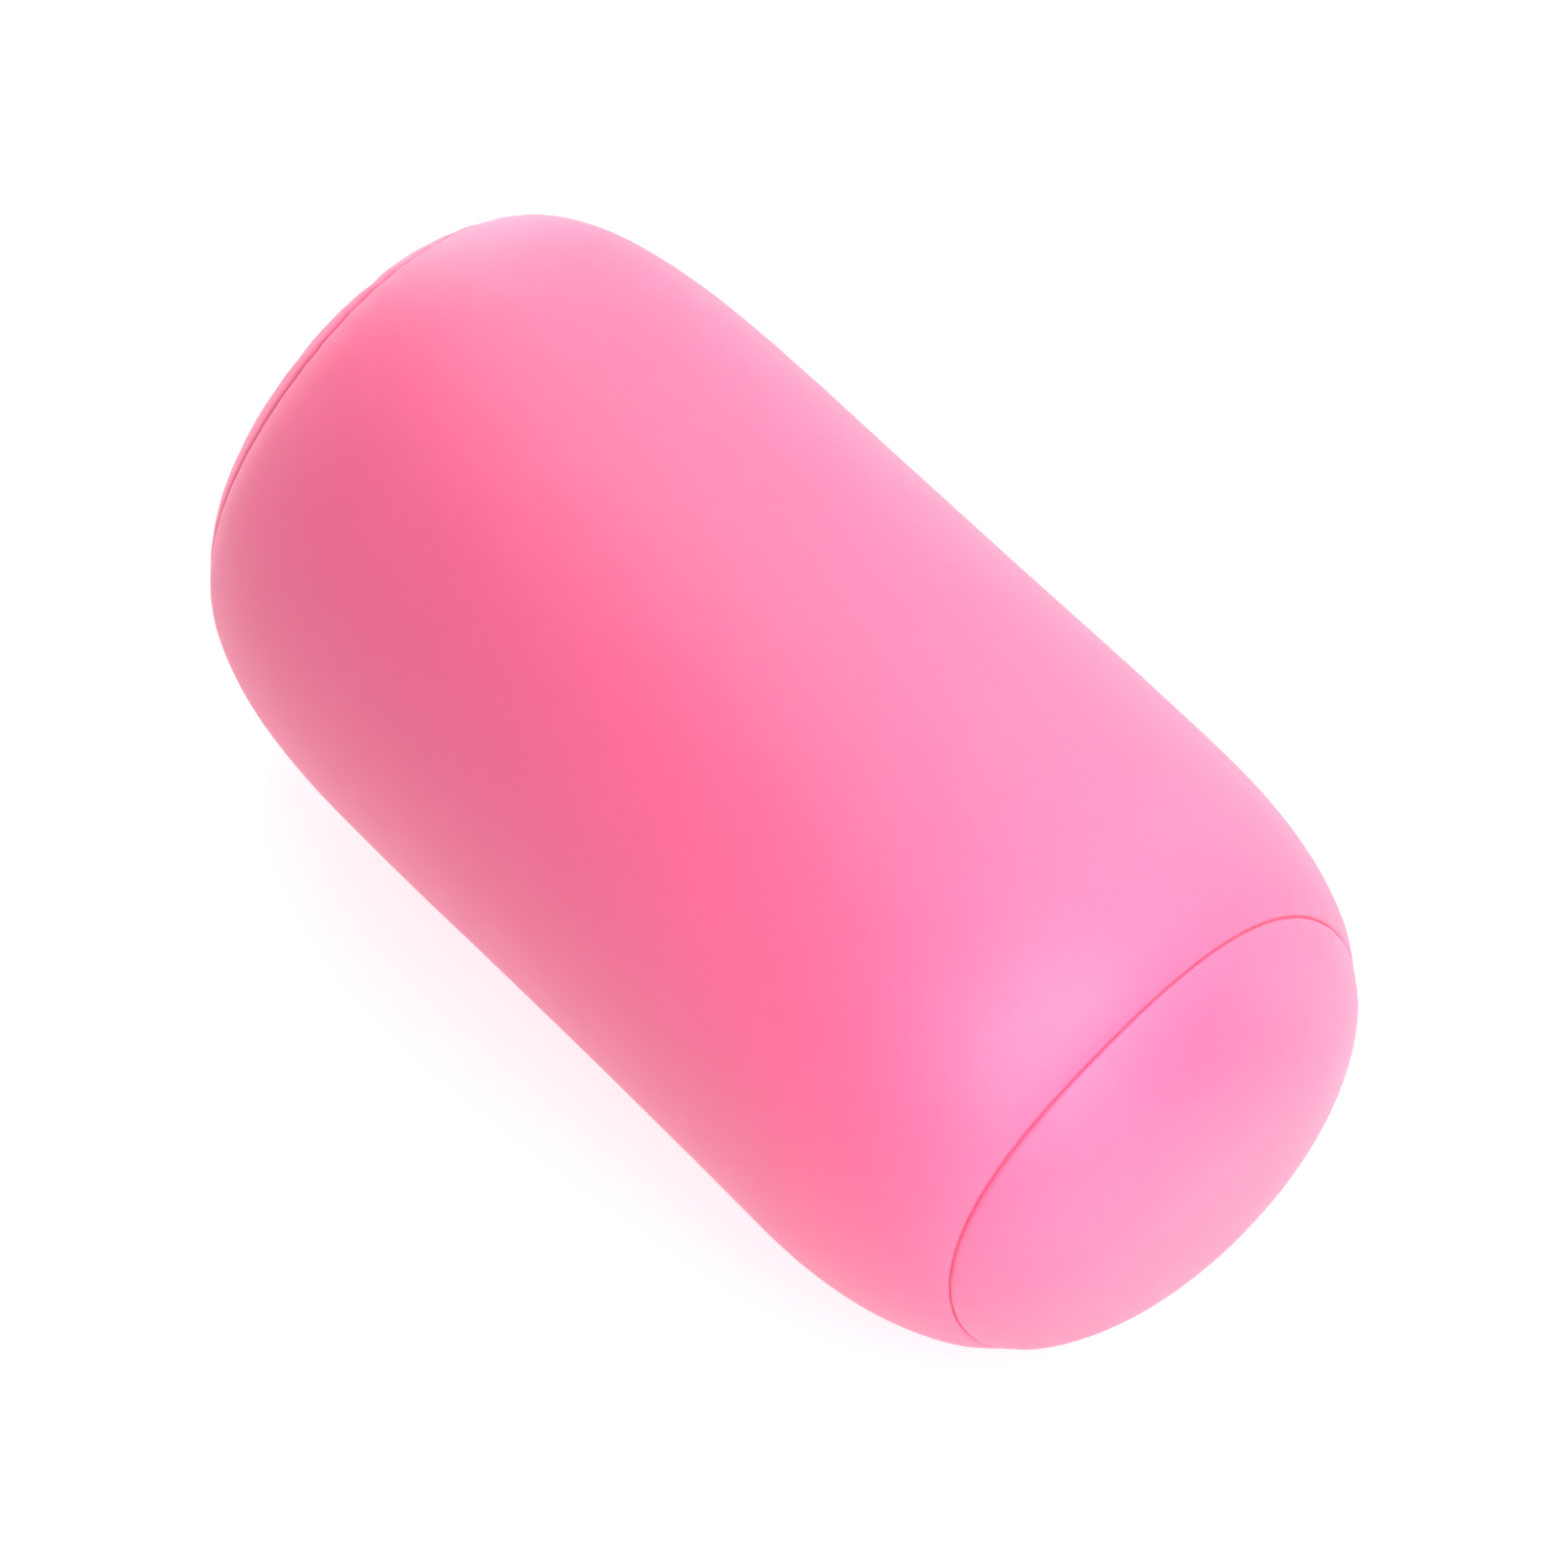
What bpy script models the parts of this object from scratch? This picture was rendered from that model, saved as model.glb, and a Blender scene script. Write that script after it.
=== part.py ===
# Bolster roll pillow: a stretch cover and an inner bag, each sewn from a tube panel
# and two end discs, round a filling of beads.
#
# Frame: +X along the roll, +Z up, origin on the floor under the middle.
# Lengths in metres, angles in radians.

import bisect
import math

import bmesh
import bpy
from mathutils import Vector

# Overall shape
LENGTH = 0.330  # pole to pole
DIAMETER = 0.170  # of the straight middle, before the base flattens
BASE_FLATTENING = 0.0035  # how far the floor presses the round section in
END_DEPTH = 0.090  # axial run of the front end, from the straight middle to the pole
AXIAL_POWER = 2.6  # superellipse powers of that end
RADIAL_POWER = 3.3
REAR_END_DEPTH = 0.130  # the rear end is fuller
REAR_AXIAL_POWER = 3.74
REAR_RADIAL_POWER = 5.4

# Cloth and thread
COVER_CLOTH = 0.0006
LINER_CLOTH = 0.0003
COVER_THREAD = 0.0004
LINER_THREAD = 0.0003
CLOSING_THREAD = 0.0003

# Sewing
COVER_SEAM_DIAMETER = 0.140  # circle on which the cover's discs are sewn in
COVER_ALLOWANCE = 0.007  # cloth folded in past a seam
LINER_ALLOWANCE = 0.005
COVER_BACK_SEAM = math.radians(120)  # lengthwise seams, from +Z towards +Y
LINER_BACK_SEAM = math.radians(300)
COVER_CLOSING_GAP = 0.080  # stretch of a back seam that is closed last, by hand
LINER_CLOSING_GAP = 0.060
HAND_STITCH = 0.005

# Care label, caught in the cover's back seam
LABEL_WIDTH = 0.025
LABEL_LENGTH = 0.030
LABEL_THICKNESS = 0.0003
LABEL_CENTRE_X = -0.060

CLEARANCE = 0.0003
STACK_MARGIN = 0.0008  # flat run beyond a seam's stack of cloth
STACK_RAMP = 0.006  # over which the next layer comes back out

# Facets
ROUND_STEPS = 24
MERIDIAN_SAMPLES = 600
SHOULDER_ROWS = 4
DOME_ROWS = 4
DOME_SPREAD = 1.3  # above 1 brings the dome's rows closer together near the seams
WELD_DISTANCE = 1e-7

RADIUS = DIAMETER / 2
AXIS_HEIGHT = RADIUS - BASE_FLATTENING
STRAIGHT_HALF = LENGTH / 2 - END_DEPTH
BACK_SLIT = LABEL_THICKNESS + 2 * CLEARANCE  # between the two lips of a back seam
FULL_TURN = 2 * math.pi


def trace_meridian(end_depth, axial_power, radial_power):
    """Half of the roll's outline, from mid-length to a pole.

    Each sample is (arc length, x, radius, axial part of the normal, radial part of the normal).
    """
    straight = LENGTH / 2 - end_depth
    samples = [(0.0, 0.0, RADIUS, 0.0, 1.0)]
    arc, last = straight, (straight, RADIUS)
    for step in range(MERIDIAN_SAMPLES + 1):
        turn = math.pi / 2 * step / MERIDIAN_SAMPLES
        out = math.sin(turn) ** (2 / axial_power)
        up = (1 - math.sin(turn) ** 2) ** (1 / radial_power)
        here = (straight + end_depth * out, RADIUS * up)
        arc += math.dist(last, here)
        axial = axial_power * out ** (axial_power - 1) / end_depth
        radial = radial_power * up ** (radial_power - 1) / RADIUS
        size = math.hypot(axial, radial)
        samples.append((arc, *here, axial / size, radial / size))
        last = here
    return samples


MERIDIAN = trace_meridian(END_DEPTH, AXIAL_POWER, RADIAL_POWER)
REAR_MERIDIAN = trace_meridian(REAR_END_DEPTH, REAR_AXIAL_POWER, REAR_RADIAL_POWER)
POLE_ARC = MERIDIAN[-1][0]
REAR_POLE_ARC = REAR_MERIDIAN[-1][0]


def meridian(samples, arc):
    """(x, radius, axial normal, radial normal) at an arc length from mid-length."""
    after = min(max(bisect.bisect_right(samples, (arc,)), 1), len(samples) - 1)
    before, beyond = samples[after - 1], samples[after]
    share = (arc - before[0]) / max(beyond[0] - before[0], 1e-12)
    share = min(max(share, 0.0), 1.0)
    return [a + (b - a) * share for a, b in zip(before[1:], beyond[1:])]


def arc_at_radius(samples, radius):
    """Arc length at which a rounded end has come down to this radius."""
    low, high = samples[1][0], samples[-1][0]
    for _ in range(60):
        middle = (low + high) / 2
        if meridian(samples, middle)[1] > radius:
            low = middle
        else:
            high = middle
    return (low + high) / 2


SEAM_ARC = arc_at_radius(MERIDIAN, COVER_SEAM_DIAMETER / 2)
REAR_SEAM_ARC = arc_at_radius(REAR_MERIDIAN, COVER_SEAM_DIAMETER / 2)


def rear_arc(arc):
    """Arc along the rear half for one along the front half, so that both have the same seams.

    The two are equal in the middle; past it the rear shoulder is longer and its dome shorter.
    """
    if arc <= STRAIGHT_HALF:
        return arc
    if arc <= SEAM_ARC:
        share = (arc - STRAIGHT_HALF) / (SEAM_ARC - STRAIGHT_HALF)
        return STRAIGHT_HALF + (REAR_SEAM_ARC - STRAIGHT_HALF) * share
    share = (arc - SEAM_ARC) / (POLE_ARC - SEAM_ARC)
    return REAR_SEAM_ARC + (REAR_POLE_ARC - REAR_SEAM_ARC) * share


def place(arc, around, depth):
    """Point at a signed arc along the roll and an angle round it, that far under the outer skin.

    The floor flattens the base.
    """
    if arc < 0:
        x, radius, axial, radial = meridian(REAR_MERIDIAN, rear_arc(-arc))
    else:
        x, radius, axial, radial = meridian(MERIDIAN, arc)
    x -= depth * axial
    radius -= depth * radial
    height = AXIS_HEIGHT + radius * math.cos(around)
    return Vector((math.copysign(x, arc), radius * math.sin(around), max(height, depth)))


class Bag:
    """One sewn bag: where its seams run, and how deep each layer of a seam lies.

    From its right side inwards, a seam holds the cloth, the thread, the folded edge, the tucked
    edge and the thread again. previous is the bag outside this one.
    """

    def __init__(self, name, cloth, thread, allowance, back_seam, closing_gap, previous=None):
        self.name = name
        self.cloth = cloth
        self.thread = thread
        self.allowance = allowance
        self.back_seam = back_seam
        self.closing_gap = closing_gap
        self.previous = previous

        self.upper_leg = cloth + CLEARANCE
        self.fold_top = self.upper_leg + thread + CLEARANCE
        self.fold_bottom = self.fold_top + cloth
        self.tuck_top = self.fold_bottom + CLEARANCE
        self.tuck_bottom = self.tuck_top + cloth
        self.lower_leg = self.tuck_bottom + CLEARANCE
        self.stack = self.lower_leg + thread + CLEARANCE

        self.overlock_start = BACK_SLIT / 2 + cloth + 2 * CLEARANCE
        self.overlock_end = allowance + CLEARANCE + thread
        self.stack_width = self.overlock_end + STACK_MARGIN
        if previous:
            self.seam_arc = previous.seam_arc + STACK_MARGIN + STACK_RAMP + self.stack_width
        else:
            self.seam_arc = SEAM_ARC
        self.stack_start = self.seam_arc - self.stack_width

    def under(self, arc, around):
        """Depth of this bag's right side below the outer skin."""
        return self.previous.inside(arc, around) if self.previous else 0.0

    def inside(self, arc, around):
        """Depth of the next layer in: close to the cloth, and deeper past the seams."""
        share = plateau(self.seam_arc - abs(arc), -STACK_MARGIN, self.stack_width)
        if abs(arc) <= self.seam_arc:
            turn = (around - self.back_seam + math.pi) % FULL_TURN - math.pi
            share = max(share, plateau(turn * RADIUS, -BACK_SLIT / 2, self.stack_width))
        flat = self.cloth + CLEARANCE
        return self.under(arc, around) + flat + (self.stack - flat) * share


def plateau(value, low, high):
    """1 between low and high, down to 0 over a ramp on both sides."""
    outside = max(low - value, value - high, 0.0)
    return max(0.0, 1 - outside / STACK_RAMP)


COVER = Bag(
    "cover", COVER_CLOTH, COVER_THREAD, COVER_ALLOWANCE, COVER_BACK_SEAM, COVER_CLOSING_GAP
)
LINER = Bag(
    "liner", LINER_CLOTH, LINER_THREAD, LINER_ALLOWANCE, LINER_BACK_SEAM, LINER_CLOSING_GAP, COVER
)
BAGS = (COVER, LINER)


def spaced(start, end, steps):
    """Values from start to end, both included."""
    return [start + (end - start) * step / steps for step in range(steps + 1)]


def shared_angles():
    """Angles that all layers use, so that the facets of neighbouring layers are parallel."""
    angles = [FULL_TURN * step / ROUND_STEPS for step in range(ROUND_STEPS)]
    angles += [bag.back_seam + bag.stack_width / RADIUS for bag in BAGS]
    return sorted(angle % FULL_TURN for angle in angles)


def shared_arcs():
    """Rows from mid-length to the pole that all layers use, for the same reason."""
    last_seam = LINER.seam_arc + STACK_MARGIN
    arcs = spaced(STRAIGHT_HALF, COVER.stack_start, SHOULDER_ROWS)
    for bag in BAGS:
        arcs += [bag.stack_start, bag.seam_arc - bag.allowance / 2, bag.seam_arc + STACK_MARGIN]
    for step in range(1, DOME_ROWS + 1):
        arcs.append(last_seam + (POLE_ARC - last_seam) * (step / DOME_ROWS) ** DOME_SPREAD)
    return sorted(set(arcs))


def shared_arcs_between(low, high):
    return [arc for arc in shared_arcs() if low < arc < high]


def place_grid(work, count_rows, count_columns, position):
    """A grid of quads whose vertex in row i and column j lies at position(i, j)."""
    bmesh.ops.create_grid(work, x_segments=count_columns - 1, y_segments=count_rows - 1, size=1)
    station = work.verts.layers.int.new("station")
    for number, vertex in enumerate(work.verts):
        vertex[station] = number
        vertex.co = position(*divmod(number, count_columns))
    return station


def weld(work):
    """Joins the last column of a round grid to its first, and closes the poles."""
    bmesh.ops.remove_doubles(work, verts=work.verts, dist=WELD_DISTANCE)


def finish_object(name, work, material):
    """Turns the faces outwards and makes the object."""
    bmesh.ops.recalc_face_normals(work, faces=work.faces)
    mesh = bpy.data.meshes.new(name)
    work.to_mesh(mesh)
    work.free()
    mesh.shade_smooth()
    mesh.set_sharp_from_angle(angle=math.radians(40))
    return link_object(name, mesh, material)


def link_object(name, data, material):
    made = bpy.data.objects.new(name, data)
    data.materials.append(material)
    bpy.context.scene.collection.objects.link(made)
    return made


def sew_sheet(name, bag, rows, columns, material, keep=None):
    """A panel of cloth: a grid on its right side, extruded to its wrong side.

    A row or column is (right place, wrong place, right drop, wrong drop), where a place is an
    arc or an angle and a drop is a depth below the bag's right side. keep picks the cells of
    cloth that exist, which clips the corners where two folds would meet.
    """

    def position(side, i, j):
        arc, around = rows[i][side], columns[j][side]
        drop = max(rows[i][2 + side], columns[j][2 + side])
        return place(arc, around, bag.under(arc, around) + drop)

    work = bmesh.new()
    station = place_grid(work, len(rows), len(columns), lambda i, j: position(0, i, j))
    if keep:
        corners = {face: min(vertex[station] for vertex in face.verts) for face in work.faces}
        unused = [face for face, corner in corners.items() if not keep(*divmod(corner, len(columns)))]
        bmesh.ops.delete(work, geom=unused, context="FACES")
    weld(work)
    right_side = [*work.verts, *work.edges, *work.faces]
    made = bmesh.ops.extrude_face_region(work, geom=right_side, use_keep_orig=True)
    for vertex in made["geom"]:
        if isinstance(vertex, bmesh.types.BMVert):
            vertex.co = position(1, *divmod(vertex[station], len(columns)))
    return finish_object(name, work, material)


def fold_stations(bag, to_tube):
    """Rows of an end seam, from the lip inwards: the tube folds under itself, the disc tucks below."""
    seam, gap = bag.seam_arc, CLEARANCE / 2
    half_way, raw_edge = seam - bag.allowance / 2, seam - bag.allowance
    if to_tube:
        lip, back = seam - gap, seam - gap - bag.cloth
        drops = (bag.fold_bottom, bag.fold_top)
    else:
        lip, back = seam + gap, seam + gap + bag.cloth
        drops = (bag.tuck_top, bag.tuck_bottom)
    return [
        (lip, back, 0.0, bag.cloth),
        (lip, back, *drops),
        (half_way, half_way, *drops),
        (raw_edge, raw_edge, *drops),
    ]


def mirrored(rows):
    """The same rows on the -X half, in order of increasing arc."""
    return [(-right, -wrong, *drops) for right, wrong, *drops in rows[::-1]]


def back_seam_columns(bag):
    """Columns of the tube panel, round from one edge of the back seam to the other.

    One long edge folds under itself and the other tucks below it, both towards larger angles.
    """
    lip = BACK_SLIT / 2 / RADIUS
    thick = bag.cloth / RADIUS
    raw_edge = bag.allowance / RADIUS
    first_edge = [
        (raw_edge, raw_edge, bag.fold_bottom, bag.fold_top),
        (lip, lip + thick, bag.fold_bottom, bag.fold_top),
        (lip, lip + thick, 0.0, bag.cloth),
    ]
    last_edge = [
        (-lip, -lip - thick, 0.0, bag.cloth),
        (-lip, -lip - thick, bag.tuck_top, bag.tuck_bottom),
        (raw_edge, raw_edge, bag.tuck_top, bag.tuck_bottom),
    ]
    turns = sorted((angle - bag.back_seam) % FULL_TURN for angle in shared_angles())
    turns = [turn for turn in turns if lip + 2 * thick < turn < FULL_TURN - lip - 2 * thick]
    stations = first_edge + [(turn, turn, 0.0, bag.cloth) for turn in turns] + last_edge
    return [(bag.back_seam + a, bag.back_seam + b, *drops) for a, b, *drops in stations]


def tube_panel(bag, material):
    """The rectangle of cloth that wraps the roll, with its edges folded in at the seams."""
    half = [(arc, arc, 0.0, bag.cloth) for arc in shared_arcs_between(0.0, bag.seam_arc)]
    half += fold_stations(bag, to_tube=True)
    rows = mirrored(half) + half
    columns = back_seam_columns(bag)
    last_row = half.index((bag.stack_start, bag.stack_start, 0.0, bag.cloth))
    clear_rows = range(len(half) - 1 - last_row, len(half) + last_row)
    clear_columns = range(2, len(columns) - 3)

    def keep(i, j):
        return j in clear_columns or i in clear_rows

    return sew_sheet(f"{bag.name}_tube_panel", bag, rows, columns, material, keep)


def end_disc(bag, end_name, sign, material):
    """The round panel of one end, with its edge tucked back below the tube's."""
    dome = shared_arcs_between(bag.seam_arc + STACK_MARGIN, math.inf)
    rows = fold_stations(bag, to_tube=False)[::-1] + [(arc, arc, 0.0, bag.cloth) for arc in dome]
    if sign < 0:
        rows = mirrored(rows)
    angles = shared_angles()
    columns = [(angle, angle, 0.0, 0.0) for angle in angles + [angles[0] + FULL_TURN]]
    return sew_sheet(f"{bag.name}_{end_name}_disc", bag, rows, columns, material)


def overlock_section(bag):
    """(distance back from the seam, depth) round the thread that binds the two raw edges.

    It is a C with its mouth at the seam.
    """
    start, end, web = bag.overlock_start, bag.overlock_end, bag.overlock_end - bag.thread
    top, bottom = bag.upper_leg, bag.lower_leg + bag.thread
    return [
        (start, top),
        (end, top),
        (end, bottom),
        (start, bottom),
        (start, bag.lower_leg),
        (web, bag.lower_leg),
        (web, top + bag.thread),
        (start, top + bag.thread),
        (start, top),
    ]


def overlock(name, bag, count, station, material, capped):
    """A run of overlock thread; station(i, back) is the (arc, angle) of its i-th section."""
    section = overlock_section(bag)

    def position(i, j):
        back, drop = section[j]
        arc, around = station(i, back)
        return place(arc, around, bag.under(arc, around) + drop)

    work = bmesh.new()
    place_grid(work, count, len(section), position)
    weld(work)
    if capped:
        bmesh.ops.holes_fill(work, edges=work.edges, sides=len(section))
    return finish_object(name, work, material)


def end_thread(bag, end_name, sign, material):
    """Overlock round one end seam."""
    angles = shared_angles()
    angles.append(angles[0] + FULL_TURN)

    def station(i, back):
        return sign * (bag.seam_arc - back), angles[i]

    name = f"{bag.name}_{end_name}_seam_thread"
    return overlock(name, bag, len(angles), station, material, capped=False)


def back_thread(bag, end_name, sign, material):
    """Overlock along the back seam, from the closing gap to one end."""
    start, end = bag.closing_gap / 2, bag.stack_start
    arcs = [start, *shared_arcs_between(start, end), end]

    def station(i, back):
        return sign * arcs[i], bag.back_seam + back / RADIUS

    name = f"{bag.name}_back_seam_thread_{end_name}"
    return overlock(name, bag, len(arcs), station, material, capped=True)


def closing_thread(bag, material):
    """Hand stitches that close the gap left for filling: a thread that waves between the lips."""
    depth = (bag.tuck_top + bag.cloth - CLOSING_THREAD) / 2
    swing = depth / 4
    steps = 2 * round(bag.closing_gap / HAND_STITCH / 2)
    curve = bpy.data.curves.new(f"{bag.name}_closing_thread", "CURVE")
    curve.dimensions = "3D"
    curve.bevel_depth = CLOSING_THREAD / 2
    curve.bevel_resolution = 1
    curve.use_fill_caps = True
    spline = curve.splines.new("POLY")
    spline.points.add(steps)
    for step, arc in enumerate(spaced(-bag.closing_gap / 2, bag.closing_gap / 2, steps)):
        wave = swing if step % 2 else -swing
        drop = bag.under(arc, bag.back_seam) + depth + wave
        spline.points[step].co = (*place(arc, bag.back_seam, drop), 1.0)
    return link_object(curve.name, curve, material)


def bead_fill(material):
    """The beads in bulk: they take the shape of the space inside the inner bag."""
    half = shared_arcs()
    arcs = [-arc for arc in half[::-1]] + half
    angles = shared_angles()
    angles.append(angles[0] + FULL_TURN)

    def position(i, j):
        return place(arcs[i], angles[j], LINER.inside(arcs[i], angles[j]))

    work = bmesh.new()
    place_grid(work, len(arcs), len(angles), position)
    weld(work)
    return finish_object("bead_fill", work, material)


def label_piece(name, bottom, top, material):
    """A flat piece of the label between two heights about its own origin."""
    work = bmesh.new()
    bmesh.ops.create_cube(work, size=1)
    bmesh.ops.scale(work, vec=(LABEL_WIDTH, LABEL_THICKNESS, top - bottom), verts=work.verts)
    bmesh.ops.translate(work, vec=(0, 0, (top + bottom) / 2), verts=work.verts)
    return finish_object(name, work, material)


def care_label(material):
    """The label's sewn-in tab, and its flap, which hangs from the seam and swings at its mouth."""
    tab = label_piece("care_label_tab", CLEARANCE - COVER.tuck_top, 0.0, material)
    tab.location = place(LABEL_CENTRE_X, COVER_BACK_SEAM, 0.0)
    tab.rotation_euler.x = -COVER_BACK_SEAM
    flap = label_piece("care_label_flap", -LABEL_LENGTH, -LABEL_THICKNESS / 2, material)
    flap.location = place(LABEL_CENTRE_X, COVER_BACK_SEAM, -CLEARANCE)


def plain_material(name, colour, roughness):
    material = bpy.data.materials.new(name)
    material.use_nodes = True
    shader = material.node_tree.nodes["Principled BSDF"]
    shader.inputs["Base Color"].default_value = (*colour, 1.0)
    shader.inputs["Roughness"].default_value = roughness
    shader.inputs["Metallic"].default_value = 0.0
    material.diffuse_color = (*colour, 1.0)
    return material


def sew_bag(bag, cloth_material, thread_material):
    tube_panel(bag, cloth_material)
    closing_thread(bag, thread_material)
    for end_name, sign in (("front", 1), ("rear", -1)):
        end_disc(bag, end_name, sign, cloth_material)
        end_thread(bag, end_name, sign, thread_material)
        back_thread(bag, end_name, sign, thread_material)


for old in list(bpy.data.objects):
    bpy.data.objects.remove(old)

pink_knit = plain_material("pink_stretch_knit", (0.95, 0.20, 0.36), 0.75)
pink_thread = plain_material("pink_thread", (0.88, 0.14, 0.30), 0.6)
white_liner = plain_material("white_liner", (0.86, 0.86, 0.84), 0.7)
white_thread = plain_material("white_thread", (0.90, 0.90, 0.88), 0.6)
white_beads = plain_material("white_beads", (0.93, 0.93, 0.93), 0.55)
white_satin = plain_material("white_satin", (0.92, 0.91, 0.89), 0.4)

sew_bag(COVER, pink_knit, pink_thread)
sew_bag(LINER, white_liner, white_thread)
bead_fill(white_beads)
care_label(white_satin)
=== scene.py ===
import math

import bmesh
import bpy
import numpy as np
from mathutils import Matrix, Vector, noise


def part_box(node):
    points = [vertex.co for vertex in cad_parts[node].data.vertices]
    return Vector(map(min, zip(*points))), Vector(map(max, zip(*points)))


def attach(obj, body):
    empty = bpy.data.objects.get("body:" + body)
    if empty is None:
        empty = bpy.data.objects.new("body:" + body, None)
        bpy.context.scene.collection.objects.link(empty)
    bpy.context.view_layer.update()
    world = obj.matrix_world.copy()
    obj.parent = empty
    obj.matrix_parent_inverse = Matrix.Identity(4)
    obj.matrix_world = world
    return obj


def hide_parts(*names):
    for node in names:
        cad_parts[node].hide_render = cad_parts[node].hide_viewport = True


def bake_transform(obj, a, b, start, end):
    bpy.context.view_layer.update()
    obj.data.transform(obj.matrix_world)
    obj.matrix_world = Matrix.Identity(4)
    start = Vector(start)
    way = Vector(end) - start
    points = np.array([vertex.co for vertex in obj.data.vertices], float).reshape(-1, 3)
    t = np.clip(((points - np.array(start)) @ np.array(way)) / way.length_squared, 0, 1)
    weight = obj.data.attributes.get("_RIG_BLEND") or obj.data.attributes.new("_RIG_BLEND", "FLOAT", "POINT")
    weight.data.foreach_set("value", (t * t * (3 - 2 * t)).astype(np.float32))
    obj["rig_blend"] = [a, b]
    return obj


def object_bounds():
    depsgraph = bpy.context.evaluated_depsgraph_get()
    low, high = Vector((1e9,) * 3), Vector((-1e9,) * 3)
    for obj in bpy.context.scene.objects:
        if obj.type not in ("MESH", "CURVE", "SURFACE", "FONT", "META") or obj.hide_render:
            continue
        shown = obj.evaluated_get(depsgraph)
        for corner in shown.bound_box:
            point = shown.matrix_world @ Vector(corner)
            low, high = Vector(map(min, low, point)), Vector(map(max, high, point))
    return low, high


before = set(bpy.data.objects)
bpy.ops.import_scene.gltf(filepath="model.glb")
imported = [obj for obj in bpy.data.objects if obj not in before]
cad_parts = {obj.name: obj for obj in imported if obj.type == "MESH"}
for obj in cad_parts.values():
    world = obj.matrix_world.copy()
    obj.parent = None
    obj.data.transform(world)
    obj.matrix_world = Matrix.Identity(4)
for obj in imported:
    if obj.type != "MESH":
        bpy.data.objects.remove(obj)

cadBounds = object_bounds()
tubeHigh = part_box("cover_tube_panel")[1]
fullTurn = 2 * math.pi

# The whole roll: straight in the middle and rounded at both ends, the rear one fuller. Metres.
roll = {
    "radius": tubeHigh[1],
    "halfLength": cadBounds[1][0],
    "axisHeight": tubeHigh[2] - tubeHigh[1],
    "waist": 0.0002,
    "frontRun": 0.088, "frontAxial": 2.4, "frontRadial": 3.3,
    "rearRun": 0.130, "rearAxial": 3.74, "rearRadial": 5.4,
    "basePress": 0.0014,  # how gently the base rounds into the floor
    "frontSeam": tubeHigh[0] - 0.0006, "rearSeam": -0.1537,  # along X
    "seamRadius": 0.07,  # of the end seams, near enough to count stitches by
    "wanderReach": 0.03,  # how far along the cloth a seam that strays takes it with it
    "backSeam": math.radians(120),  # from +Z towards +Y
}

# The beads settle, so the ends lean a little, slip sideways and go slightly oval.
settled = {
    "front": {
        "leanY": 0.024, "leanZ": -0.019, "slipY": -0.0012,
        "oval": 0.011, "ovalTurn": math.radians(-75),
    },
    "rear": {
        "leanY": -0.058, "leanZ": 0.010, "slipY": 0.0,
        "oval": 0.016, "ovalTurn": math.radians(37),
    },
    "middleOval": 0.0037,
    "beyond": 0.02, "over": 0.145,  # where along X that sets in, and the length it grows over
}

# The outline of the roll, and how every layer of it is placed.


def outlineRadius(x):
    end = "front" if x > 0 else "rear"
    run = roll[end + "Run"]
    into = min(max((abs(x) - roll["halfLength"] + run) / run, 0.0), 1.0)
    full = (1 - into ** roll[end + "Axial"]) ** (1 / roll[end + "Radial"])
    span = roll["halfLength"] - run / 2
    waist = roll["waist"] * (1 + math.cos(math.pi * min(abs(x) / span, 1.0))) / 2
    return (roll["radius"] - waist) * full


def traceOutline():
    # half circle steps keep the samples even where the outline turns in at a pole
    turns = np.linspace(-math.pi / 2, math.pi / 2, 4001)
    xs = roll["halfLength"] * np.sin(turns)
    rs = np.array([outlineRadius(x) for x in xs])
    arcs = np.concatenate([[0.0], np.cumsum(np.hypot(np.diff(xs), np.diff(rs)))])
    arcs -= np.interp(0.0, xs, arcs)  # arc 0 is mid-length, and the rear half is negative
    slopeX, slopeR = np.gradient(xs, arcs), np.gradient(rs, arcs)
    return arcs, xs, rs, slopeX, slopeR


outline = traceOutline()
frontPole, rearPole = float(outline[0][-1]), float(outline[0][0])


def arcAt(x):
    return float(np.interp(x, outline[1], outline[0]))


sewnAt = {"front": roll["frontSeam"], "rear": roll["rearSeam"]}


def ease(value):
    value = min(max(value, 0.0), 1.0)
    return value * value * (3 - 2 * value)


def wander(side, around):
    # a sewn circle is never quite true
    if side == "front":
        first = -0.0016 * math.cos(around) - 0.0006 * math.sin(around) - 0.0014 * math.cos(2 * around)
        return first - 0.0004 * math.sin(2 * around) + 0.0018 * math.cos(3 * around + 0.59)
    return -0.0006 * math.sin(around) - 0.0007 * math.sin(2 * around)


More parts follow.
